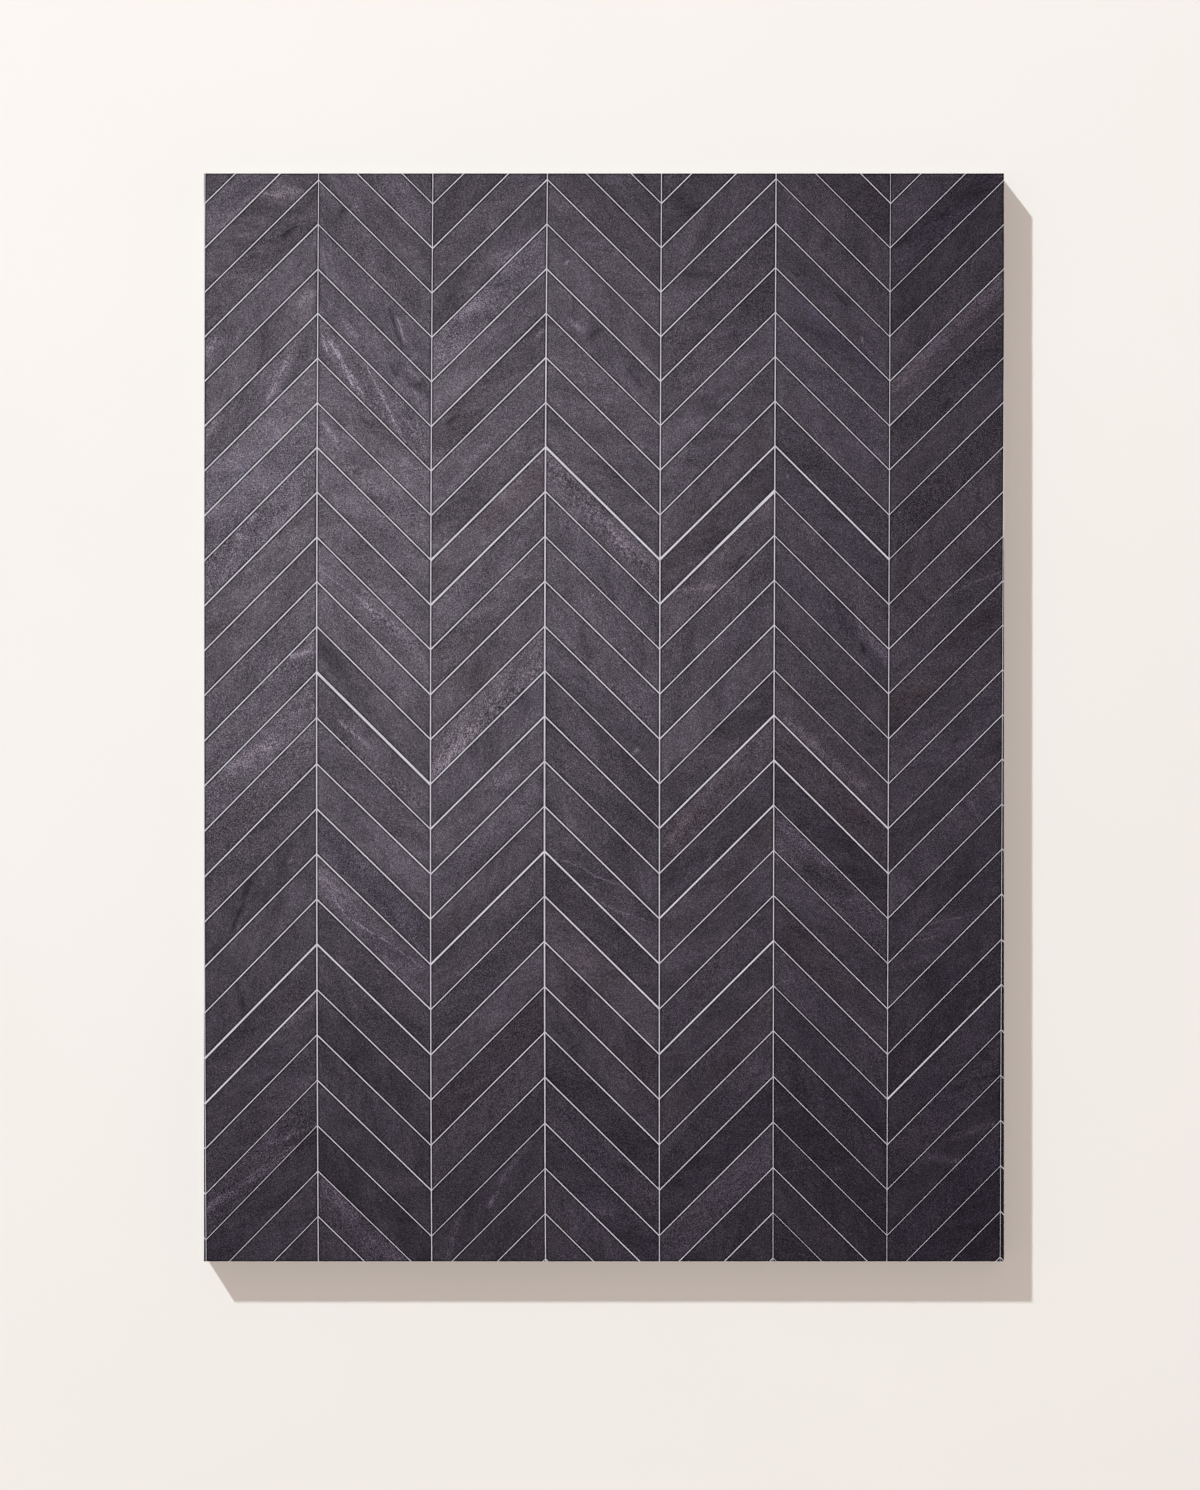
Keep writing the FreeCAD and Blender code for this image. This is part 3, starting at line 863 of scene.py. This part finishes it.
def adhesive_material():
    """Thinset mortar squeezed out level with the sawn edge: grey and gritty, with combing voids whose
    insides are painted dark as shade.
    """
    material, tree, shader = new_material("pressed_thinset_mortar")
    place = add(tree, "ShaderNodeTexCoord").outputs["Object"]
    grit = noise(tree, place, 1.2, 3.0).outputs[0]
    stretched = add(tree, "ShaderNodeMapping", {"Vector": place, "Scale": per_mm(5, 5, 2)})
    voids = add(tree, "ShaderNodeTexVoronoi", {"Vector": stretched, "Scale": 1.0, "Randomness": 0.8})
    # The voids are hollows in the bump, and their colour is painted down to 0.35 as shade inside them.
    void_depth_and_shade = add(tree, "ShaderNodeMapRange", {
        "Value": voids.outputs["Distance"], "From Min": 0.12, "From Max": 0.28,
        "To Min": 0.35, "To Max": 1.0,
    })
    colour = blend(tree, grit, srgb("7B7872"), srgb("9A9791"))
    tree.links.new(scaled(tree, colour, void_depth_and_shade), shader.inputs["Base Color"])
    shader.inputs["Roughness"].default_value = 0.92
    height = add(tree, "ShaderNodeMath", {0: grit, 1: 0.3, 2: void_depth_and_shade}, operation="MULTIPLY_ADD")
    emboss(tree, shader, 0.6, 0.4, height)
    return material


def cement_board_material():
    """Cement backer board: a pale cement skin pressed over glass mesh, and a beaded grey core
    where the saw went through."""
    material, tree, shader = new_material("meshed_cement_board")
    place = add(tree, "ShaderNodeTexCoord").outputs["Object"]
    low, high = Vector(PANEL_LOW), Vector(PANEL_HIGH)
    inset = add(tree, "ShaderNodeVectorMath", {0: place, 1: ((low + high) / 2)[:]}, operation="SUBTRACT")
    wobble = noise(tree, place, 60, 1.0)
    bent = add(tree, "ShaderNodeVectorMath", {0: wobble.outputs["Color"], 1: (2 * MM,) * 3, 2: inset},
               operation="MULTIPLY_ADD")
    axes = add(tree, "ShaderNodeSeparateXYZ", {"Vector": bent}).outputs
    threads = []
    for axis in (axes["X"], axes["Y"]):
        # Mesh threads 10 mm apart and about 1 mm wide.
        wave = add(tree, "ShaderNodeMath", {0: axis, 1: 5 * MM}, operation="PINGPONG")
        near = add(tree, "ShaderNodeMapRange", {
            "Value": wave, "From Min": 0.4 * MM, "From Max": 0.9 * MM, "To Min": 1.0, "To Max": 0.0,
        })
        threads.append(near.outputs[0])
    mesh_line = add(tree, "ShaderNodeMath", {0: threads[0], 1: threads[1]}, operation="MAXIMUM")
    cement = noise(tree, place, 14, 5.0, 0.62).outputs[0]
    beads = add(tree, "ShaderNodeTexVoronoi", {"Vector": place, "Scale": 1 / (2.2 * MM)})
    bead = add(tree, "ShaderNodeMapRange", {
        "Value": beads.outputs["Distance"], "From Min": 0.1, "From Max": 0.5,
    })
    skin = blend(tree, cement, srgb("A8A59E"), srgb("CBC8C1"))
    meshed = blend(tree, mesh_line, skin, srgb("D3D1CB"))
    core = blend(tree, bead, srgb("94928D"), srgb("6F6D69"))
    is_skin = add(tree, "ShaderNodeMath", {0: levelness(tree), 1: 0.5}, operation="GREATER_THAN")
    tree.links.new(blend(tree, is_skin, core, meshed), shader.inputs["Base Color"])
    shader.inputs["Roughness"].default_value = 0.9
    thread_height = add(tree, "ShaderNodeMath", {0: mesh_line, 1: is_skin}, operation="MULTIPLY")
    height = add(tree, "ShaderNodeMath", {0: cement, 1: 0.6, 2: thread_height},
                 operation="MULTIPLY_ADD")
    emboss(tree, shader, 0.5, 0.3, height)
    return material


def floor_material():
    """Warm white studio paper, unlined and matt."""
    material, tree, shader = new_material("warm_white_paper")
    place = add(tree, "ShaderNodeTexCoord").outputs["Object"]
    haze = noise(tree, place, 250, 2.0).outputs[0]
    tree.links.new(blend(tree, haze, srgb("F6F3EE"), srgb("F9F6F2")), shader.inputs["Base Color"])
    shader.inputs["Roughness"].default_value = 1.0
    shader.inputs["Specular IOR Level"].default_value = 0.0
    return material


def finish_node(name, material):
    """Gives a carried-over CAD node its better material."""
    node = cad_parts[name]
    node.data.materials.clear()
    node.data.materials.append(material)


# Floor, light and camera

def make_floor():
    """A pale floor, open under the panel, so that its back can be looked at."""
    mesh = bpy.data.meshes.new("floor")
    reach, lap = 9.0, 0.5 * MM
    turns = ((-1, -1), (1, -1), (1, 1), (-1, 1))
    outer = [(x * reach, y * reach, 0) for x, y in turns]
    inner = [(x * (PANEL_HIGH[0] - lap), y * (PANEL_HIGH[1] - lap), 0) for x, y in turns]
    mesh.from_pydata(outer + inner, [], [(i, (i + 1) % 4, (i + 1) % 4 + 4, i + 4) for i in range(4)])
    mesh.materials.append(floor_material())
    floor = bpy.data.objects.new("floor", mesh)
    bpy.context.collection.objects.link(floor)


def hang_lamp(name, shape, size, energy, colour, place):
    """An area lamp that shines straight down."""
    light = bpy.data.lights.new(name, "AREA")
    light.shape = shape
    light.size, light.size_y = size, size
    light.energy = energy
    light.color = colour
    lamp = bpy.data.objects.new(name, light)
    lamp.location = place
    bpy.context.collection.objects.link(lamp)
    return lamp


def light_studio():
    """A low key lamp from the upper left, a lamp high above, a panel that only gives the stone its
    sheen, and a warm room."""
    key = hang_lamp("key_lamp", "DISK", 0.57, 2860.0, (0.938, 1.03, 1.083), (-8.77, 12.5, 7.47))
    key.rotation_euler = (-key.location).to_track_quat("-Z", "Y").to_euler()

    above = hang_lamp("ceiling_lamp", "DISK", 0.8, 305.0, (1.075, 0.99, 0.945), (0.0, 0.0, 10.0))
    above.visible_camera = False
    above.visible_glossy = False

    soft = hang_lamp("overhead_panel", "RECTANGLE", 0.9, 34.0, (1.12, 1.02, 0.98), (-0.53, 0.40, 3.0))
    soft.visible_camera = False
    soft.visible_diffuse = False

    world = bpy.data.worlds.new("room")
    bpy.context.scene.world = world
    world.use_nodes = True
    tree = world.node_tree
    tree.nodes.clear()
    way = add(tree, "ShaderNodeTexCoord").outputs["Generated"]
    up = add(tree, "ShaderNodeSeparateXYZ", {"Vector": way}).outputs["Z"]
    room = add(tree, "ShaderNodeMapRange", {"Value": up, "To Min": 0.32, "To Max": 0.14})
    light = add(tree, "ShaderNodeBackground", {
        "Color": (1.22, 1.02, 0.93, 1.0), "Strength": room.outputs[0],
    })
    seen = add(tree, "ShaderNodeBackground", {"Color": srgb("F2EEE9"), "Strength": 1.0})
    is_camera = add(tree, "ShaderNodeLightPath").outputs["Is Camera Ray"]
    both = add(tree, "ShaderNodeMixShader", {0: is_camera, 1: light, 2: seen})
    add(tree, "ShaderNodeOutputWorld", {"Surface": both})


def set_camera():
    """Straight above the middle of the view, which takes in 1200 mm across."""
    camera = bpy.data.cameras.new("camera")
    camera.sensor_fit = "HORIZONTAL"
    camera.sensor_width = 36.0
    camera.lens = 120.0
    holder = bpy.data.objects.new("camera", camera)
    middle = in_view(*VIEW_MIDDLE)
    holder.location = (middle.x, middle.y, FACE + CAMERA_HEIGHT)
    bpy.context.collection.objects.link(holder)
    bpy.context.scene.camera = holder


pieces = make_slate_columns(slate_material())
make_grout(pieces, grout_material())
finish_node("adhesive_bed", adhesive_material())
finish_node("backer_board", cement_board_material())
make_floor()
light_studio()
set_camera()
bpy.context.scene.view_settings.view_transform = "Standard"
